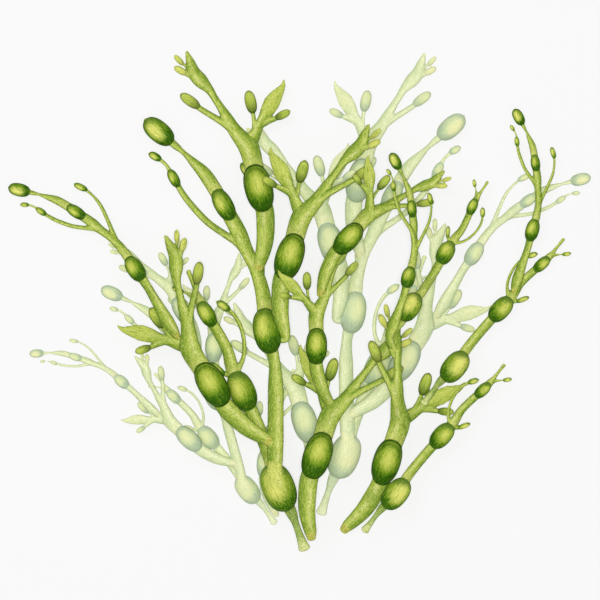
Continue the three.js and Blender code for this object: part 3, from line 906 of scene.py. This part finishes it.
BLADDER_STROKES = 1.1
BLADDER_HATCHING = 0.7
BLADDER_SPECKLE = 0.8
BY_BLADDER_BAND = (0.4, 0.6)
BLADDER_END_BAND = (1.03, 0.99)
SPREAD_BAND = (1.25, 0.95)
CORE_BAND = (0.6, 0.2)
DARK_FLECKS = (0.5, 0.34)
LIGHT_FLECKS = (0.5, 0.66)
RIPE_FLECKS = (0.5, 0.64)
LIGHT_SPECKS = (0.52, 0.66)
LEAF_CALM = 0.5
BLADDER_DARK_CALM = 0.4
BLADDER_LIGHT_CALM = 0.9
ROUGHNESS = 0.55
PATCH_ROUGHNESS = 0.3
STROKE_ROUGHNESS = 0.2
STROKE_RELIEF = 0.5
SPECKLE_RELIEF = 0.4
PATCH_RELIEF = 0.2


def wrack(name, tints):
    """Moist leathery tissue: the colours of straps and bladders, with painted highlights and painted shade,
    and fine strokes and specks over them.
    """
    material = bpy.data.materials.new(name)
    material.use_nodes = True
    tree = material.node_tree
    tree.nodes.clear()
    start = Signal(tree)

    def attribute(which, output="Fac"):
        return start.node("ShaderNodeAttribute", {"attribute_name": which}, {}, output)

    def noise(vector, scale, detail, roughness=0.5):
        sockets = {"Vector": vector, "Scale": scale, "Detail": detail, "Roughness": roughness}
        return start.node("ShaderNodeTexNoise", {}, sockets)

    def stretched(vector, amounts):
        return start.node("ShaderNodeVectorMath", {"operation": "MULTIPLY"}, {0: vector, 1: amounts})

    grain = attribute("grain", "Vector")
    place = start.node("ShaderNodeTexCoord", {}, {}, "Object")
    strokes = noise(stretched(grain, STROKE_STRETCH), scale=1.0, detail=3.0, roughness=0.7)
    hatching = noise(stretched(grain, HATCHING_STRETCH), scale=1.0, detail=2.0, roughness=0.6)
    speckle = noise(place, scale=1300.0, detail=2.0, roughness=0.7)
    patches = noise(place, scale=170.0, detail=3.0)
    wash = noise(place, scale=45.0, detail=2.0)

    radius = (abs(attribute("egg_along")) ** BARREL + abs(attribute("egg_left")) ** BARREL) ** (1 / BARREL)
    rough = (strokes - NOISE_MEAN) * BLADDER_STROKES + (hatching - NOISE_MEAN) * BLADDER_HATCHING
    rough = rough + (speckle - NOISE_MEAN) * BLADDER_SPECKLE
    bladder, shade = bladder_colour(tints, attribute, patches, radius, rough)
    spread = attribute("spread")
    by_egg = attribute("by_egg")
    on_bladder = by_egg.between(*BY_BLADDER_BAND) * radius.between(*BLADDER_END_BAND) * (1 - spread)
    on_strap = 1 - on_bladder

    strap = strap_colour(tints, attribute, patches, wash)
    strap = mixed(strap, tints["ripe"], spread * by_egg * radius.between(*SPREAD_BAND), strength=0.6)
    tissue = mixed(strap, bladder, on_bladder)
    tissue = mixed(tissue, tints["stroke_dark"], hatching.between(*DARK_FLECKS) * on_bladder, strength=0.5)
    # Ripe-coloured flecks only inside the painted highlight of a bladder's core.
    ripe_flecks = strokes.between(*RIPE_FLECKS) * on_bladder * shade.between(*CORE_BAND)
    tissue = mixed(tissue, tints["ripe"], ripe_flecks, strength=0.4)
    tissue = mixed(tissue, tints["stroke_dark"], strokes.between(*DARK_FLECKS) * on_strap, strength=0.65)
    tissue = mixed(tissue, tints["stroke_light"], strokes.between(*LIGHT_FLECKS) * on_strap, strength=0.5)
    calm = (1 - on_bladder * BLADDER_DARK_CALM) * (1 - attribute("leaf") * LEAF_CALM)
    tissue = mixed(tissue, tints["stroke_dark"], speckle.between(*DARK_FLECKS) * calm, strength=0.6)
    light_specks = speckle.between(*LIGHT_SPECKS) * (1 - on_bladder * BLADDER_LIGHT_CALM)
    tissue = mixed(tissue, tints["stroke_light"], light_specks, strength=0.32)

    relief = strokes * STROKE_RELIEF + speckle * SPECKLE_RELIEF + patches * PATCH_RELIEF
    bump = start.node("ShaderNodeBump", {}, {"Strength": 0.3, "Distance": 0.0005, "Height": relief})
    roughness = ROUGHNESS + (patches - NOISE_MEAN) * PATCH_ROUGHNESS
    roughness = roughness + (strokes - NOISE_MEAN) * STROKE_ROUGHNESS
    shader = start.node("ShaderNodeBsdfPrincipled", {}, {
        "Base Color": tissue,
        "Roughness": roughness,
        "Normal": bump,
        "Specular IOR Level": 0.06,
    })
    start.node("ShaderNodeOutputMaterial", {}, {"Surface": shader})
    return material


# A palette's tints: the strap's light band, its streak and the light end of the bladder ramp are painted
# highlights, and ripe is partly a bladder's real yellowing and partly painted highlight. The strap's dark
# side, the edge, the rim and the dark end of the bladder ramp are painted shade, the dark side's tint also
# giving random mottling. cap is painted shade on a bladder's top and the real grey-green of a stem's neck.
PALE = wrack("pale_wrack_tissue", {
    "strap": colour(209, 219, 165),
    "strap_shade_and_mottle": colour(181, 198, 147),
    "strap_highlight": colour(226, 231, 181),
    "highlight_streak": colour(243, 244, 207),
    "stroke_dark": colour(187, 202, 155),
    "stroke_light": colour(241, 243, 207),
    "tan": colour(233, 229, 175),
    "leaf": colour(218, 220, 163),
    "bud": colour(235, 236, 181),
    "stem": colour(211, 220, 173),
    "cut_stem": colour(233, 236, 193),
    "cut_strap": colour(229, 225, 167),
    "edge": colour(179, 193, 145),
    "rim": colour(155, 175, 149),
    "cap": colour(183, 200, 169),
    "club": colour(213, 221, 165),
    "ripe": colour(235, 232, 173),
    "bladder": [
        (0.0, colour(226, 228, 171)),
        (0.3, colour(220, 226, 169)),
        (0.55, colour(209, 219, 167)),
        (0.8, colour(187, 203, 161)),
        (1.0, colour(169, 187, 155)),
    ],
})


def dress(node, shoots, group, tissue, most_triangles):
    """Grows one frond's skin over its plain solid, paints it, and hangs it on the part's body."""
    limbs = grow(shoots, group, HEIGHT_MAPS)
    route = Route(limbs)
    mesh = fused(node + "_skin", route, most_triangles)
    mark(mesh, route)
    mesh.materials.append(tissue)
    piece = bpy.data.objects.new(node + "_skin", mesh)
    bpy.context.scene.collection.objects.link(piece)
    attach(piece, "root")
    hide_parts(node)


HEIGHT_MAPS = []
dress("pale_left_main_frond", MAIN_FROND, FAR_LEFT, PALE, most_triangles=80000)

# Pale centre frond on the left
# A single shoot of the same bleached leathery tissue. It lies loose on the surface and over the pale
# main frond beside it.

CENTRE_FROND = [
    (SPRAY, (10.3, -93.3), -4.4, 1, True, None, [], 0),
    (SPRAY, (9.9, -27.6), 13.6, 0.755, True, 0, [], 0),
    (SPRAY, (28.8, 36.6), -27, 0.76, True, 1, [], 0),
]
dress("pale_left_centre_frond", CENTRE_FROND[:1], FAR_LEFT, PALE, most_triangles=20000)

# Pale fronds on the right
# The mirror image of the same two growths, larger, one of many shoots and one of a single shoot. They
# lie on the surface and form the background of the fan on its right.

FAR_RIGHT = ((26.5, -94.6), 0.7, 0.924, True)
PALE_SHOOT = [(SPRAY, (12.6, -89.6), -2.3, 0.965, True, None, [], 0)]
dress("pale_right_main_frond", MAIN_FROND, FAR_RIGHT, PALE, most_triangles=130000)
dress("pale_right_centre_frond", PALE_SHOOT, FAR_RIGHT, PALE, most_triangles=40000)

# Main frond
# The large green frond in front: a cut stem, a round basal bladder, a tall strap and four side shoots,
# all one leathery body. It lies across the pale fronds, held up by them.

# The same tints in greens, with painted highlights, painted shade and ripe yellowing as in the pale
# palette.
GREEN = wrack("green_wrack_tissue", {
    "strap": colour(144, 166, 56),
    "strap_shade_and_mottle": colour(94, 128, 30),
    "strap_highlight": colour(186, 200, 96),
    "highlight_streak": colour(228, 224, 158),
    "stroke_dark": colour(98, 130, 28),
    "stroke_light": colour(210, 213, 120),
    "tan": colour(206, 206, 116),
    "leaf": colour(186, 196, 84),
    "bud": colour(196, 202, 92),
    "stem": colour(160, 180, 108),
    "cut_stem": colour(222, 226, 156),
    "cut_strap": colour(190, 182, 84),
    "edge": colour(70, 108, 16),
    "rim": colour(22, 62, 0),
    "cap": colour(86, 118, 42),
    "club": colour(162, 182, 68),
    "ripe": colour(228, 226, 120),
    "bladder": [
        (0.0, colour(208, 212, 102)),
        (0.28, colour(186, 196, 82)),
        (0.5, colour(142, 164, 50)),
        (0.7, colour(104, 138, 24)),
        (0.9, colour(62, 106, 2)),
        (1.0, colour(38, 84, 0)),
    ],
})
AS_GROWN = (FOOT, 0, 1, False)
dress("main_frond", MAIN_FROND, AS_GROWN, GREEN, most_triangles=190000)

# Centre frond
# The green frond in the middle, three shoots growing out of each other in one body. Its ochre foot
# lies beside the main frond's, and its upper shoots lie over the main frond's.

dress("centre_frond", CENTRE_FROND, AS_GROWN, GREEN, most_triangles=110000)

# Right frond
# The green frond on the right: one large shoot that carries two chains of bladders and two whips.
# It lies on the pale fronds, with its thin upper straps over the centre frond's.

RIGHT_FROND = [
    (SPRAY, (52.2, -97.2), -31.6, 0.995, False, None, [], 0),
    (CHAIN, (65.4, -4.2), -72.5, 0.88, True, 0, [(55.6, -33, 3.4)], 1),
    (WHIP, (64.4, 13.2), -49.7, 0.826, False, 0, [(56, -30, 4.5)], 1),
    (CHAIN, (93.1, -40.2), -0.4, 1, False, 0, [], 0),
    (WHIP, (139.9, 42), -49, 0.81, False, 3, [], 0),
]
dress("right_frond", RIGHT_FROND, AS_GROWN, GREEN, most_triangles=130000)

# Low right frond
# The smallest green frond, a single chain of bladders on a thin strap with a flared cut end. Its
# basal bladder lies over the edge of the right frond's foot.

LOW_FROND = [(CHAIN, (57.6, -116.4), 0, 1, False, None, [], 0)]
dress("low_right_frond", LOW_FROND, AS_GROWN, GREEN, most_triangles=30000)

# Table, light and camera
# A plain white surface that glows, as a light box does, with soft light from straight above and a
# little daylight from the top left. A long lens looks straight down, so the fan stands upright.

FLOOR_HALF = 3.0
PAPER_WHITE = 0.25
PAPER_GLOW = 0.665
DAYLIGHT = 0.4
floor_mesh = mesh_of("table", np.array([
    (-FLOOR_HALF, -FLOOR_HALF, 0), (FLOOR_HALF, -FLOOR_HALF, 0),
    (FLOOR_HALF, FLOOR_HALF, 0), (-FLOOR_HALF, FLOOR_HALF, 0),
]), [(0, 1, 2, 3)])
paper = bpy.data.materials.new("white_paper")
paper.use_nodes = True
page = paper.node_tree.nodes["Principled BSDF"]
page.inputs["Base Color"].default_value = (PAPER_WHITE, PAPER_WHITE, PAPER_WHITE, 1)
page.inputs["Roughness"].default_value = 1
page.inputs["Specular IOR Level"].default_value = 0
page.inputs["Emission Color"].default_value = (1, 1, 1, 1)
page.inputs["Emission Strength"].default_value = PAPER_GLOW
floor_mesh.materials.append(paper)
floor = bpy.data.objects.new("table", floor_mesh)
bpy.context.scene.collection.objects.link(floor)

world = bpy.data.worlds.new("daylight")
world.use_nodes = True
sky = world.node_tree.nodes["Background"]
sky.inputs["Color"].default_value = (1, 1, 1, 1)
sky.inputs["Strength"].default_value = DAYLIGHT
bpy.context.scene.world = world


def soft_light(name, place, size, power):
    """A square lamp that faces the origin, of a size in metres and a power in watts."""
    lamp = bpy.data.lights.new(name, "AREA")
    lamp.size = size
    lamp.energy = power
    holder = bpy.data.objects.new(name, lamp)
    holder.location = place
    holder.rotation_euler = (-holder.location).to_track_quat("-Z", "Y").to_euler()
    bpy.context.scene.collection.objects.link(holder)


soft_light("overhead", place=(0, 0, 3), size=0.6, power=60)
soft_light("window", place=(-0.9, 0.9, 1.5), size=1.2, power=5)

PICTURE_WIDTH = 0.36
CAMERA_HEIGHT = 2.0
MIDDLE_HEIGHT = 0.012
SENSOR_WIDTH = 36
lens = bpy.data.cameras.new("camera")
lens.sensor_width = SENSOR_WIDTH
lens.lens = SENSOR_WIDTH * (CAMERA_HEIGHT - MIDDLE_HEIGHT) / PICTURE_WIDTH
camera = bpy.data.objects.new("camera", lens)
camera.location = (-MIDDLE[0] * MM, -MIDDLE[1] * MM, CAMERA_HEIGHT)
bpy.context.scene.collection.objects.link(camera)
bpy.context.scene.camera = camera
bpy.context.scene.view_settings.view_transform = "Standard"
